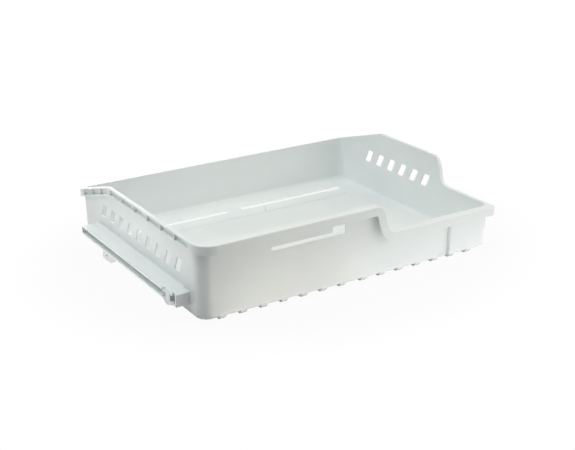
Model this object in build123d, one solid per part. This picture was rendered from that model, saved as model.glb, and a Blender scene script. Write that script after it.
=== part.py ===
"""Freezer basket: one white injection moulding, a drafted tub with a stepped rim and two side rails.

X runs along the high wall, Y from the high wall to the low wall, Z up.
The origin is under the middle of the basket, level with the underside of the floor ribs.
"""
from build123d import *
import math
import os

os.makedirs("parts", exist_ok=True)

# Rim outline and heights
rim_depth = 495.0
height = 140.5
low_wall_top = 94.1
slope_start = 96.0
bend_radius = 24.0
rim_thickness = 2.5
skirt = 15.4
rim_radii = [33.0, 12.0, 22.0, 26.0]  # high left, high right, low right, low left
rim_bevel = 1.3

# Stepped-down corner where the high wall meets the right wall
corner_top = 87.5
step_x = 55.0
step_y = -94.0
step_angle = 74.0
step_radius = 19.0

# Tub
wall = 2.5
draft = 0.8
flange_high = 16.0
flange_low = 11.7
flange_side = 7.5
tub_radii = [20.0, 13.0, 13.0, 20.0]  # inside corners, same order as the rim
floor_radius = 7.5
floor_thickness = 2.5

# Ribs under the floor
rib_pairs = 7
rib_pitch = 39.1
rib_middle_gap = 44.5
rib_width = 12.0
rib_height = 6.5
rib_round = 5.0
rib_nose = 15.0
rib_inset = 2.5
rib_drain_gap = 10.0

# Open cells of the side rims, each row starting at its end towards the high wall
cell_rib = 2.5
level_cells = 6
level_cell_pitch = 50.0
level_cell_start = -211.0
slope_cells = 3
slope_cell_pitch = 38.8
slope_cell_start = 96.2

# Slanted slots in the side walls
slot_count_left = 9
slot_count_right = 6
slot_pitch = 36.5
slot_width = 18.0
slot_low = 71.2
slot_high = 96.5
slot_lean = 12.0
slot_first = 133.6
slot_radius = 2.5

# L-shaped window in the high wall
window_left = -167.5
window_right = -21.3
window_tall_left = -47.7
window_low = 101.5
window_slit = 6.8
window_tall = 20.0
window_radius = 1.5

# Upright groove in the high wall
groove_left = 183.6
groove_right = 208.7
groove_depth = 7.0
groove_side = 3.0
groove_round = 4.0

# Floor drains and the line moulded beside them
drain_inner = 16.0
drain_outer = 258.0
drain_width = 13.0
drain_y = 179.0
line_y = 139.0
line_half = 251.5
line_width = 1.6
line_depth = 0.8

# Side rails
rail_width = 660.0
rail_reach = 25.0
rail_top = 49.5
rail_low = 34.0
rail_front = 169.0
rail_back = -198.6
rail_flange = 2.5
rail_nose = 6.0
rail_root = 5.0
rail_root_back = -180.0
block_front = -160.0
block_inset = 6.0
block_low = 28.5
block_wall = 3.5
plate_front = -147.7
pocket_front = -177.0
catch_back = -187.0
catch_front_low = 44.5
catch_tip = -183.4
catch_low = 42.3
notch_back = -194.0
lug_front_low = 29.5
lug_fall_end = -160.5
lug_low = 21.2
lug_level_end = -168.0
lug_rise_end = -190.0
lug_round = 10.0
stop_front = 75.0
stop_level_end = 42.7
stop_rise_end = 16.8
stop_low = 19.5
stop_round = 15.0
stop_hole_y = 58.0
stop_hole_z = 28.5
stop_hole = 5.0

# Derived sizes
over = 20.0
corners = [(-1, -1), (1, -1), (1, 1), (-1, 1)]
rim_length = rail_width - 2 * rail_reach
reach = rim_length
floor_top = rib_height + floor_thickness
lean = math.tan(math.radians(draft))
slope = math.atan2(height - low_wall_top, rim_depth / 2 - slope_start)
inner_half = rim_length / 2 - flange_side
inner_near = -rim_depth / 2 + flange_high
inner_far = rim_depth / 2 - flange_low


def rounded(points, radii):
    """Face inside a closed polyline with one corner radius per point."""
    return make_face(FilletPolyline(*points, radius=radii, close=True))


def plan(half, near, far, radii):
    """Rectangular outline seen from above, corners in the order of the rim radii."""
    return rounded([(-half, near), (half, near), (half, far), (-half, far)], radii)


def tub(skin, bottom):
    """Drafted solid that stands `skin` outside the inner wall, with rounded corners and bottom edge."""
    roof = height + over
    low = skin - (height - bottom) * lean
    high = skin + over * lean
    lengthwise = Polyline(
        (-inner_half - low, bottom),
        (inner_half + low, bottom),
        (inner_half + high, roof),
        (-inner_half - high, roof),
        close=True,
    )
    crosswise = Polyline(
        (inner_near - low, bottom),
        (inner_far + low, bottom),
        (inner_far + high, roof),
        (inner_near - high, roof),
        close=True,
    )
    solid = extrude(Plane.XZ * make_face(lengthwise), amount=reach, both=True)
    solid &= extrude(Plane.YZ * make_face(crosswise), amount=reach, both=True)
    for (right, far), radius in zip(corners, tub_radii):
        uprights = solid.edges().sort_by(lambda e: right * e.center().X + far * e.center().Y)
        solid = fillet(uprights[-1], radius + skin)
    return fillet(solid.edges().group_by(Axis.Z)[0], floor_radius + skin)


def step_face(centre, depth):
    """Region above the stepped rim line, sunk into the wall by `depth`."""
    tilt = math.radians(step_angle)
    middle = (height + corner_top) / 2
    upper, lower = height - depth, corner_top - depth
    shift = centre - depth / math.sin(tilt)
    at_upper = shift + (middle - upper) / math.tan(tilt)
    at_lower = shift + (middle - lower) / math.tan(tilt)
    start = at_upper - 2 * step_radius
    roof = height + over
    line = [(start, upper), (at_upper, upper), (at_lower, lower), (reach, lower)]
    bends = [0, step_radius - depth, step_radius + depth, 0]
    return rounded(line + [(reach, roof), (start, roof)], bends + [0, 0])


def below(depth):
    """Everything under the rim surface sunk by `depth`: level, then sloping, less the stepped corner."""
    bend = slope_start - depth * math.tan(slope / 2)
    end = height - depth - (reach - bend) * math.tan(slope)
    line = [(-reach, height - depth), (bend, height - depth), (reach, end)]
    side = rounded(line + [(reach, -reach), (-reach, -reach)], [0, bend_radius - depth, 0, 0, 0])
    in_high_wall = step_face(step_x, depth)
    in_right_wall = mirror(step_face(-step_y, depth), about=Plane.YZ)
    step = extrude(Plane.XZ * in_high_wall, amount=reach, both=True)
    step &= extrude(Plane.YZ * in_right_wall, amount=reach, both=True)
    return extrude(Plane.YZ * side, amount=reach, both=True) - step


def span(x0, x1, y0, y1, z0, z1):
    """Box between two corners."""
    return Pos((x0 + x1) / 2, (y0 + y1) / 2, (z0 + z1) / 2) * Box(x1 - x0, y1 - y0, z1 - z0)


def wall_prism(face, x0, x1):
    """Prism of a YZ face between two places along X."""
    return extrude(Plane.YZ.offset(x0) * face, amount=x1 - x0)


def lies_on_rim(edge):
    """True for an edge that runs round the outside of the rim surface."""
    middle = edge @ 0.5
    upright = abs((edge % 0.5).Z) > 0.999
    foot = Vertex(middle.X, middle.Y, 0)
    return middle.Z > 0 and not upright and rim_outline.wire().distance_to(foot) < 0.001


outer = tub(wall, rib_height)
inner = tub(0, floor_top)
rim_surface = below(0)
flange_under = below(rim_thickness)
rim_edge = below(skirt)

# Tub walls and the rim band round them
rim_outline = plan(rim_length / 2, -rim_depth / 2, rim_depth / 2, rim_radii)
rim_block = extrude(rim_outline, amount=height) & rim_surface
rim_block = chamfer([e for e in rim_block.edges() if lies_on_rim(e)], rim_bevel)
body = (outer & rim_surface) + (rim_block - rim_edge)

# Rows of open cells in the side rims
cell_starts = [level_cell_start + i * level_cell_pitch for i in range(level_cells)]
cells = [(y, y + level_cell_pitch) for y in cell_starts]
slope_starts = [slope_cell_start + i * slope_cell_pitch for i in range(slope_cells)]
cells += [(y, y + slope_cell_pitch) for y in slope_starts]
step_clear = step_y + 2 * step_radius
right_cells = [cell for cell in cells if cell[0] > step_clear]
left_face, right_face = -rim_length / 2 - over, rim_length / 2 + over
middle_left, middle_right = -inner_half + over, inner_half - over
cell_boxes = []
for y0, y1 in cells:
    cell_boxes.append(span(left_face, middle_left, y0 + cell_rib / 2, y1 - cell_rib / 2, 0, height))
for y0, y1 in right_cells:
    cell_boxes.append(span(middle_right, right_face, y0 + cell_rib / 2, y1 - cell_rib / 2, 0, height))
cell_layer = (flange_under - below(skirt - rim_thickness)) - outer
body -= [box & cell_layer for box in cell_boxes]

# The rest of the rim is a skirt that opens downward
rim_hollow = plan(
    rim_length / 2 - rim_thickness,
    -rim_depth / 2 + rim_thickness,
    rim_depth / 2 - rim_thickness,
    [r - rim_thickness for r in rim_radii],
)
row_end = cells[-1][1] + cell_rib / 2
left_row = span(left_face, middle_left, cells[0][0] - cell_rib / 2, row_end, 0, height)
right_row = span(middle_right, right_face, right_cells[0][0] - cell_rib / 2, row_end, 0, height)
body -= (extrude(rim_hollow, amount=height) & flange_under) - outer - left_row - right_row

# Ribs under the floor, curved up into the high wall and ending short of the drains
rib_start = inner_near - wall + rib_inset
rib_end = drain_y - drain_width / 2 - rib_drain_gap
rib_root = rib_nose + wall
rib_side = rounded(
    [(rib_start, 0), (rib_end, 0), (rib_end, rib_root), (rib_start, rib_root)],
    [rib_nose, 0, 0, 0],
)
rib_half = rib_width / 2
rib_section = rounded(
    [(-rib_half, 0), (rib_half, 0), (rib_half, rib_root), (-rib_half, rib_root)],
    [rib_round, rib_round, 0, 0],
)
rib = wall_prism(rib_side, -rib_half, rib_half) & extrude(Plane.XZ * rib_section, amount=reach, both=True)
rib_places = [rib_middle_gap / 2 + i * rib_pitch for i in range(rib_pairs)]
body += [Pos(side * x, 0, 0) * rib for x in rib_places for side in (-1, 1)]
body -= inner

# Groove in the high wall, with the wall carried round behind it
groove_back = inner_near - wall + groove_depth
groove_top = corner_top - skirt
groove_mouth = inner_near - wall + (height - groove_top - wall) * lean
boss_left, boss_right = groove_left - wall, groove_right + wall
boss = span(boss_left, boss_right, inner_near - wall / 2, groove_back + wall, floor_top, groove_top + wall)
body += boss & outer
groove_plan = rounded(
    [
        (groove_left, groove_mouth - over),
        (groove_right + over, groove_mouth - over),
        (groove_right + over, groove_mouth),
        (groove_right, groove_mouth),
        (groove_right, groove_back),
        (groove_left + groove_side, groove_back),
        (groove_left, groove_mouth),
    ],
    [0, 0, 0, groove_round, 0, 0, 0],
)
body -= Pos(0, 0, rib_height) * extrude(groove_plan, amount=groove_top - rib_height)

# Side rails, made on the left and mirrored
rail_x = -rail_width / 2
block_x = rail_x + block_inset
wall_x = -(inner_half + wall - (height - lug_low) * lean) + wall / 2
strip = rounded(
    [(block_front, rail_low), (rail_front, rail_low), (rail_front, rail_top), (block_front, rail_top)],
    [0, rail_nose, rail_nose / 2, 0],
)
rail = wall_prism(strip, rail_x, wall_x)
rail += span(block_x, wall_x, rail_back, block_front, block_low, rail_top)
lug = rounded(
    [
        (plate_front, rail_top),
        (plate_front, lug_front_low),
        (lug_fall_end, lug_low),
        (lug_level_end, lug_low),
        (lug_rise_end, block_low),
        (lug_rise_end, rail_top),
    ],
    [0, 0, lug_round, lug_round, 0, 0],
)
rail += wall_prism(lug, block_x, block_x + rail_flange)
stop = rounded(
    [(stop_front, rail_low), (stop_front, stop_low), (stop_level_end, stop_low), (stop_rise_end, rail_low)],
    [0, 0, stop_round, 0],
)
stop_bore = Pos(stop_hole_y, stop_hole_z) * Circle(stop_hole / 2)
rail += wall_prism(stop - stop_bore, rail_x, rail_x + rail_flange)
root_x = -(inner_half + wall - (height - rail_top) * lean)
root = Pos(root_x - rail_root / 2, rail_top + rail_root / 2) * Rectangle(rail_root, rail_root)
root += Pos(root_x, rail_top + rail_root / 2) * Rectangle(wall, rail_root)
root -= Pos(root_x - rail_root, rail_top + rail_root) * Circle(rail_root)
rail += extrude(Plane.XZ.offset(-rail_front) * root, amount=rail_front - rail_root_back)

channel_low, channel_high = rail_low + rail_flange, rail_top - rail_flange
channel = span(rail_x - over, wall_x, plate_front, rail_front - rail_flange, channel_low, channel_high)
channel += span(rail_x - over, block_x, block_front, plate_front, channel_low, channel_high)
pocket_back = rail_back + block_wall
channel += span(rail_x - over, wall_x, pocket_back, pocket_front, block_low + rail_flange, channel_high)
core_x = block_x + rail_flange
channel += span(core_x, wall_x, pocket_front + rail_flange, plate_front - rail_flange, 0, channel_high)
channel += span(rail_x - over, core_x, notch_back, catch_back, channel_high, rail_top + over)
catch = Polyline(
    (pocket_front, channel_high),
    (pocket_front, catch_front_low),
    (catch_tip, catch_low),
    (catch_back, channel_high),
    close=True,
)
rail = rail - (channel - outer) - inner + wall_prism(make_face(catch), block_x, core_x)
body += [rail, mirror(rail, about=Plane.YZ)]

# Slanted slots through the side walls
openings = []
for i in range(slot_count_left):
    front = slot_first - i * slot_pitch
    back = front - slot_width
    slot = rounded(
        [(back, slot_high), (back + slot_lean, slot_low), (front + slot_lean, slot_low), (front, slot_high)],
        [slot_radius] * 4,
    )
    openings.append(wall_prism(slot, left_face, middle_left))
    if i < slot_count_right:
        openings.append(wall_prism(slot, middle_right, right_face))

# L-shaped window through the high wall
window_top = window_low + window_tall
slit_top = window_low + window_slit
window = rounded(
    [
        (window_left, window_low),
        (window_right, window_low),
        (window_right, window_top),
        (window_tall_left, window_top),
        (window_tall_left, slit_top),
        (window_left, slit_top),
    ],
    [window_radius] * 6,
)
openings.append(extrude(Plane.XZ.offset(-inner_near - over) * window, amount=2 * over))

# Drains through the floor and the line beside them
drain_middle = (drain_inner + drain_outer) / 2
drain = extrude(SlotOverall(drain_outer - drain_inner, drain_width), amount=floor_top + wall)
openings += [Pos(side * drain_middle, drain_y, 0) * drain for side in (-1, 1)]
line = extrude(SlotOverall(2 * line_half, line_width), amount=wall)
openings.append(Pos(0, line_y, floor_top - line_depth) * line)
body -= openings

export_step(body, "parts/basket.step")
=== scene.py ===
# %% [markdown]
# A white freezer basket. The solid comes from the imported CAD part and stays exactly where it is.
# This script gives it its moulded plastic, adds the smallest mould marks, and sets up the studio.

import bpy
import numpy as np
from mathutils import Matrix, Vector


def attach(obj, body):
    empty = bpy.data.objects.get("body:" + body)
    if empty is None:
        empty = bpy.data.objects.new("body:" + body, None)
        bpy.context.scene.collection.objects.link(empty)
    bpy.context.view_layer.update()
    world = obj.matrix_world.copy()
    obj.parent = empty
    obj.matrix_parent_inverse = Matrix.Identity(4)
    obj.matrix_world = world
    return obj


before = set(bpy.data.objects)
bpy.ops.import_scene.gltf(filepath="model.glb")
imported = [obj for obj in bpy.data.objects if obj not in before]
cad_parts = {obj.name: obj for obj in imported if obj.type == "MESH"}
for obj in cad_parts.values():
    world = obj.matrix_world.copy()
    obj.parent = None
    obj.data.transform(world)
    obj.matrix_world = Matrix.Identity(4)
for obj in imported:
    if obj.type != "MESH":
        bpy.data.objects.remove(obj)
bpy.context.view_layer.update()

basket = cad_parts["basket"]

# %% [markdown]
# Every colour below is written as an sRGB hex value, the way a colour picker shows it. Shaders work in
# linear light, so one function turns hex into linear. A second small function adds a shader node,
# sets its values and joins it up, which keeps each material readable as a list of nodes.

# %% Colour and shader helpers
MM = 0.001


def linear(hex_colour):
    """sRGB hex to linear RGBA: v / 12.92 near black, else ((v + 0.055) / 1.055) to the power 2.4."""
    v = np.array([int(hex_colour[i:i + 2], 16) for i in (1, 3, 5)]) / 255
    rgb = np.where(v <= 0.04045, v / 12.92, ((v + 0.055) / 1.055) ** 2.4)
    return (*rgb.tolist(), 1.0)


def add_node(material, kind, settings=None, links=None):
    """Adds a shader node, sets its properties or inputs by name, and links its inputs to outputs."""
    node = material.node_tree.nodes.new(kind)
    for name, value in (settings or {}).items():
        if name in node.inputs:
            node.inputs[name].default_value = value
        else:
            setattr(node, name, value)
    for name, source in (links or {}).items():
        material.node_tree.links.new(source, node.inputs[name])
    return node


def new_material(name):
    """An empty node material."""
    material = bpy.data.materials.new(name)
    material.use_nodes = True
    material.node_tree.nodes.clear()
    return material


print("linear white is", linear("#ffffff"))

# %% [markdown]
# The basket is a white polystyrene injection moulding. The melt leaves faint, wide shades where it flowed
# into the mould. They could be painted on an image, but noise in Object coordinates needs no file and
# stays on the plastic from every side. It mixes two whites that are very close.

# %% Flow shades
FLOW = 140 * MM
FLOW_DETAIL = 3.0
SHADE_END, LIGHT_END = 0.35, 0.65


def flow_shades(material, place, light, shade):
    """Wide noise, about one swell per FLOW, and the mix of two whites that a ramp makes of it."""
    flow = add_node(
        material,
        "ShaderNodeTexNoise",
        {"Scale": 1 / FLOW, "Detail": FLOW_DETAIL},
        {"Vector": place},
    ).outputs["Fac"]
    whites = add_node(material, "ShaderNodeValToRGB", links={"Fac": flow})
    first, last = whites.color_ramp.elements
    first.position, first.color = SHADE_END, linear(shade)
    last.position, last.color = LIGHT_END, linear(light)
    return flow, whites.outputs["Color"]


print("one flow shade about every", round(FLOW / MM), "mm")

# %% [markdown]
# The steel of such a mould is spark-eroded to a fine grain, and wide faces come out very slightly wavy.
# Real grain is about 0.3 mm, too fine to show here, so it is drawn at 2.5 mm with a very small height.
# Modelling it would take millions of faces, so both go into the bump. No mould edge is knife sharp: the
# Bevel node rounds the shading of every edge by about the radius that a mould maker leaves.

# %% Mould texture
EDGE_RADIUS = 0.5 * MM
EDGE_SAMPLES = 4
# Each layer has the width of one swell, the noise detail, the bump height and the bump strength.
LAYERS = {
    "waviness": (60 * MM, 1.0, 0.35 * MM, 0.25),
    "grain": (2.5 * MM, 2.0, 0.06 * MM, 0.12),
}


def mould_texture(material, place):
    """The normal of a rounded edge, tipped by the slope of each noise layer in turn."""
    edge = add_node(material, "ShaderNodeBevel", {"samples": EDGE_SAMPLES, "Radius": EDGE_RADIUS})
    normal = edge.outputs["Normal"]
    for width, detail, height, strength in LAYERS.values():
        noise = add_node(
            material, "ShaderNodeTexNoise", {"Scale": 1 / width, "Detail": detail}, {"Vector": place}
        )
        normal = add_node(
            material,
            "ShaderNodeBump",
            {"Strength": strength, "Distance": height},
            {"Height": noise.outputs["Fac"], "Normal": normal},
        ).outputs["Normal"]
    return normal


print("mould texture of", list(LAYERS))

# %% [markdown]
# Polystyrene has an IOR of 1.59, and the eroded steel gives it a satin face with broad, dim highlights.
# White polystyrene also lets a little light wander inside it, which softens its shadows. A plain diffuse
# shader would look like plaster, so the Principled shader is used, with some subsurface scattering.

# %% Moulded plastic
POLYSTYRENE_IOR = 1.59
SATIN, SATIN_SPREAD = 0.42, 0.04
LIGHT_WANDER, WANDER_SHARE = 1.5 * MM, 0.35
WANDER_BY_COLOUR = (1.0, 1.0, 0.95)


def moulded_polystyrene(name, light, shade):
    """Satin white: colour and roughness follow the flow shades, the normal follows the mould texture."""
    material = new_material(name)
    place = add_node(material, "ShaderNodeTexCoord").outputs["Object"]
    flow, whites = flow_shades(material, place, light, shade)
    satin = add_node(
        material,
        "ShaderNodeMapRange",
        {"To Min": SATIN - SATIN_SPREAD, "To Max": SATIN + SATIN_SPREAD},
        {"Value": flow},
    )
    plastic = add_node(
        material,
        "ShaderNodeBsdfPrincipled",
        {
            "IOR": POLYSTYRENE_IOR,
            "Subsurface Weight": WANDER_SHARE,
            "Subsurface Radius": WANDER_BY_COLOUR,
            "Subsurface Scale": LIGHT_WANDER,
        },
        {
            "Base Color": whites,
            "Roughness": satin.outputs["Result"],
            "Normal": mould_texture(material, place),
        },
    )
    add_node(material, "ShaderNodeOutputMaterial", links={"Surface": plastic.outputs["BSDF"]})
    return material


white_moulding = moulded_polystyrene("moulded_white_polystyrene", light="#ecf1f0", shade="#e8eded")
basket.data.materials.clear()
basket.data.materials.append(white_moulding)
print("basket wears", white_moulding.name)

# %% [markdown]
# Some tiny mould marks are too small for the CAD part. All of them are turned shapes, so one function
# makes them: it carries a profile of radius and height round an axis. A Screw modifier could do the same,
# but the formula keeps every point in one array.

# %% Turned shapes
AROUND = 24


def turned(name, profile, foot, axis):
    """A solid of revolution, closed by a flat cap at each end.

    point(u, v) = foot + height(v) * axis + radius(v) * (cos u * side + sin u * other)
    """
    radius, height = np.array(profile).T * MM
    axis = np.array(axis, float)
    side = np.roll(axis, 1)
    other = np.cross(axis, side)
    u = np.linspace(0, 2 * np.pi, AROUND, endpoint=False)
    ring = np.cos(u)[:, None] * side + np.sin(u)[:, None] * other
    points = np.array(foot) * MM + height[:, None, None] * axis + radius[:, None, None] * ring
    i, j = np.meshgrid(np.arange(len(radius) - 1), np.arange(AROUND), indexing="ij")
    k = (j + 1) % AROUND
    sides = np.stack([i * AROUND + j, i * AROUND + k, (i + 1) * AROUND + k, (i + 1) * AROUND + j], -1)
    top = (len(radius) - 1) * AROUND + np.arange(AROUND)
    caps = [np.arange(AROUND)[::-1].tolist(), top.tolist()]
    mesh = bpy.data.meshes.new(name)
    mesh.from_pydata(points.reshape(-1, 3).tolist(), [], sides.reshape(-1, 4).tolist() + caps)
    mesh.polygons.foreach_set("use_smooth", np.ones(len(mesh.polygons), bool))
    mesh.materials.append(white_moulding)
    mark = bpy.data.objects.new(name, mesh)
    bpy.context.collection.objects.link(mark)
    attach(mark, "root")
    return mark


print("turned shapes have", AROUND, "points round")

# %% [markdown]
# A short tapered stub stands on the floor near the low wall, perhaps where the plastic was cut from its
# feed. Two round pips sit on each plate below a rail, perhaps where pins pushed the moulding out. Each
# profile lists radius and height in millimetres and starts just inside the plastic, so no gap shows.

# %% Mould marks
STUB_PROFILE = [(2.2, -0.5), (2.0, 0.4), (1.7, 4.0), (1.4, 8.2), (1.1, 8.9), (0.5, 9.1)]
PIP_PROFILE = [(1.3, -0.4), (1.3, 0.25), (1.15, 0.5), (0.8, 0.65), (0.3, 0.7)]
STUB_FOOT = (51.0, 142.0, 9.0)
PLATE_X = 324.0
PIPS = {"upper": (-161.0, 30.5), "lower": (-162.2, 23.9)}

marks = [turned("feed_stub", STUB_PROFILE, STUB_FOOT, (0, 0, 1))]
for side_name, way in (("left", -1), ("right", 1)):
    for pip_name, (y, z) in PIPS.items():
        pip_foot = (way * PLATE_X, y, z)
        marks.append(turned(f"pin_pip_{side_name}_{pip_name}", PIP_PROFILE, pip_foot, (way, 0, 0)))
print("mould marks", [m.name for m in marks])

# %% [markdown]
# The studio is a white table in a white tent, the kind that catalogue photographs are taken in. The
# background has to be white without more light on the basket. Brighter lamps would burn the plastic out,
# so table and room get a glow that is only seen directly, and the Light Path node tells which rays those
# are.

# %% Rays that see the background
def seen_directly(material):
    """One for rays from the camera, or seen in a gloss or through glass, else zero."""
    path = add_node(material, "ShaderNodeLightPath").outputs
    seen = path["Is Camera Ray"]
    for other_ray in ("Is Glossy Ray", "Is Transmission Ray"):
        seen = add_node(
            material, "ShaderNodeMath", {"operation": "MAXIMUM"}, {0: seen, 1: path[other_ray]}
        ).outputs[0]
    return seen


WHITE = linear("#ffffff")
print("background glows", WHITE[:3])

# %% [markdown]
# The table top is diffuse, so that the basket keeps its soft shadow. Near the basket the glow leaves that
# shadow a small share. Further out, past an oval round the basket, it takes the table to plain white.

# %% White table top
SHADOW_REACH = (0.42, 0.36)
SHADOW_FADE = (0.95, 1.25)
GLOW_NEAR, GLOW_FAR = 0.95, 1.0

table_top = new_material("white_table_top")
squeezed = add_node(
    table_top,
    "ShaderNodeMapping",
    {"vector_type": "TEXTURE", "Scale": (*SHADOW_REACH, 1.0)},
    {"Vector": add_node(table_top, "ShaderNodeTexCoord").outputs["Object"]},
)
away = add_node(
    table_top, "ShaderNodeVectorMath", {"operation": "LENGTH"}, {0: squeezed.outputs["Vector"]}
)
whiten = add_node(
    table_top,
    "ShaderNodeMapRange",
    {"From Min": SHADOW_FADE[0], "From Max": SHADOW_FADE[1], "To Min": GLOW_NEAR, "To Max": GLOW_FAR},
    {"Value": away.outputs["Value"]},
)
share = add_node(
    table_top,
    "ShaderNodeMath",
    {"operation": "MULTIPLY"},
    {0: seen_directly(table_top), 1: whiten.outputs["Result"]},
)
sheet = add_node(table_top, "ShaderNodeBsdfDiffuse", {"Color": linear("#bcbcbc")})
glow = add_node(table_top, "ShaderNodeEmission", {"Color": WHITE, "Strength": 1.0})
mixed = add_node(
    table_top,
    "ShaderNodeMixShader",
    links={0: share.outputs[0], 1: sheet.outputs[0], 2: glow.outputs[0]},
)
add_node(table_top, "ShaderNodeOutputMaterial", links={"Surface": mixed.outputs[0]})
print("table material", table_top.name)

# %% [markdown]
# The table itself is one square face at height zero, where the ribs under the basket stand. It is large
# enough to fill the picture from any side. As stage it is not part of the object.

# %% Studio floor
FLOOR_HALF = 6.0

corner = np.array([[-1, -1, 0], [1, -1, 0], [1, 1, 0], [-1, 1, 0]]) * FLOOR_HALF
floor_mesh = bpy.data.meshes.new("studio_floor")
floor_mesh.from_pydata(corner.tolist(), [], [(0, 1, 2, 3)])
floor_mesh.materials.append(table_top)
studio_floor = bpy.data.objects.new("studio_floor", floor_mesh)
bpy.context.collection.objects.link(studio_floor)
print("floor", FLOOR_HALF * 2, "m square")

# %% [markdown]
# The world stands for the walls of the tent. They look white, but give the basket almost no light of
# their own: light from all round would fill the rim cells and the rail, which have to stay in shade.

# %% White room
ROOM_LIGHT = 0.01

world = bpy.data.worlds.new("white_room")
bpy.context.scene.world = world
world.use_nodes = True
world.node_tree.nodes.clear()
room = add_node(world, "ShaderNodeBackground", {"Color": linear("#e6f0f4"), "Strength": ROOM_LIGHT})
backdrop = add_node(world, "ShaderNodeBackground", {"Color": WHITE, "Strength": 1.0})
view = add_node(
    world,
    "ShaderNodeMixShader",
    links={0: seen_directly(world), 1: room.outputs[0], 2: backdrop.outputs[0]},
)
add_node(world, "ShaderNodeOutputWorld", links={"Surface": view.outputs[0]})
print("world", world.name, "lights at", ROOM_LIGHT)

# %% [markdown]
# Large soft boxes hang overhead, high on the left, at the front and on the right, and weaker ones stand
# lower down on the left, at the front, on the right and at the back. Light from high up leaves the cells
# under the rim and the channel of the rail in shade. None stands at the camera, so the rounded corner
# that faces it falls into shade too.

# %% Soft boxes
LAMP_COLOUR = "#fffdf9"
AIM = (0.0, 0.0, 0.07)
# Each soft box has its place and its side in metres, its power in watts and its colour.
SOFT_BOXES = {
    "top": ((0.0, 0.0, 2.0), 2.2, 10.5, LAMP_COLOUR),
    "high_left": ((-1.2, 0.1, 1.8), 1.8, 21.4, "#f6fcff"),
    "high_front": ((0.5, -1.3, 1.8), 1.8, 8.0, "#fff6f0"),
    "high_right": ((1.3, 0.0, 1.8), 1.8, 7.0, "#fff6e0"),
    "left": ((-1.6, 0.5, 1.0), 1.0, 2.0, LAMP_COLOUR),
    "front": ((0.7, -1.8, 0.4), 1.0, 4.2, LAMP_COLOUR),
    "right": ((1.0, -0.8, 0.45), 0.8, 3.4, "#fdfdff"),
    "back": ((0.0, 1.9, 0.55), 1.0, 13.0, "#fff7ee"),
}


def area_lamp(name, place, sides, power, colour):
    """A flat lamp of the given sides at `place`, which shines along its own -Z axis."""
    lamp = bpy.data.lights.new(name, "AREA")
    lamp.shape = "RECTANGLE"
    lamp.size, lamp.size_y = sides
    lamp.energy = power
    lamp.color = linear(colour)[:3]
    holder = bpy.data.objects.new(name, lamp)
    bpy.context.collection.objects.link(holder)
    holder.location = place
    return holder


for box_name, (place, side, power, colour) in SOFT_BOXES.items():
    box = area_lamp(f"{box_name}_soft_box", place, (side, side), power, colour)
    box.rotation_euler = (Vector(AIM) - Vector(place)).to_track_quat("-Z", "Y").to_euler()
    print(box.name, power, "W")

# %% [markdown]
# Light panels set flush in the table top shine upward beside the high wall, beside the left rail and under
# the floor of the basket. They are what makes the walls brighter towards their feet and the floor's drains
# bright. The strip of table below the rib ends has no panel, so that the ribs still show. A lamp that
# gives a radiance of L over an area A takes a power of pi * L * A.

# %% Panels in the table
PANEL_LIFT = 0.5 * MM
UPWARD = (np.pi, 0.0, 0.0)
# Each panel has its span along X and along Y in metres, its radiance and its colour.
PANELS = {
    "front_left": ((-0.27, 0.00), (-0.44, -0.234), 0.74, "#fff7ec"),
    "front_right": ((0.00, 0.45), (-0.44, -0.234), 0.84, "#fffefd"),
    "under": ((-0.27, 0.30), (-0.19, 0.235), 0.75, "#fafdff"),
    "left": ((-0.70, -0.365), (-0.20, 0.30), 1.02, "#fffdf9"),
}

for panel_name, (span_x, span_y, radiance, colour) in PANELS.items():
    sides = np.ptp(span_x), np.ptp(span_y)
    middle = np.mean(span_x), np.mean(span_y), PANEL_LIFT
    panel = area_lamp(f"{panel_name}_table_panel", middle, sides, np.pi * radiance * np.prod(sides), colour)
    panel.rotation_euler = UPWARD
    panel.visible_camera = False
    print(panel.name, round(panel.data.energy, 3), "W")

# %% [markdown]
# The camera stands where the photograph was taken from, about two metres away, to the left of the high
# wall and a little above the rim. Its place and angles were found by matching straight edges, slots and
# ribs.

# %% Camera
IMAGE_WIDTH, IMAGE_HEIGHT = 575, 450
CAMERA_PLACE = np.array([-1017.1, -1617.6, 779.1]) * MM
AZIMUTH, ELEVATION, ROLL = np.radians([-31.744, 21.139, -0.458])
FOCAL_PIXELS = 1095.35
CENTRE_X, CENTRE_Y = 274.71, 222.70
SENSOR = 36.0

back = np.array(
    [np.sin(AZIMUTH) * np.cos(ELEVATION), -np.cos(AZIMUTH) * np.cos(ELEVATION), np.sin(ELEVATION)]
)
level = np.array([np.cos(AZIMUTH), np.sin(AZIMUTH), 0.0])
rise = np.cross(back, level)
right = np.cos(ROLL) * level + np.sin(ROLL) * rise
up = np.cos(ROLL) * rise - np.sin(ROLL) * level
lens = bpy.data.cameras.new("photo_camera")
lens.sensor_width = SENSOR
lens.lens = FOCAL_PIXELS / IMAGE_WIDTH * SENSOR
lens.shift_x = (IMAGE_WIDTH / 2 - CENTRE_X) / IMAGE_WIDTH
lens.shift_y = (CENTRE_Y - IMAGE_HEIGHT / 2) / IMAGE_WIDTH
camera = bpy.data.objects.new("photo_camera", lens)
bpy.context.collection.objects.link(camera)
turn = Matrix(np.stack([right, up, back], axis=1).tolist()).to_4x4()
camera.matrix_world = Matrix.Translation(CAMERA_PLACE.tolist()) @ turn
bpy.context.scene.camera = camera
bpy.context.scene.view_settings.view_transform = "Standard"
print("lens", round(lens.lens, 2), "mm, shift", round(lens.shift_x, 4), round(lens.shift_y, 4))
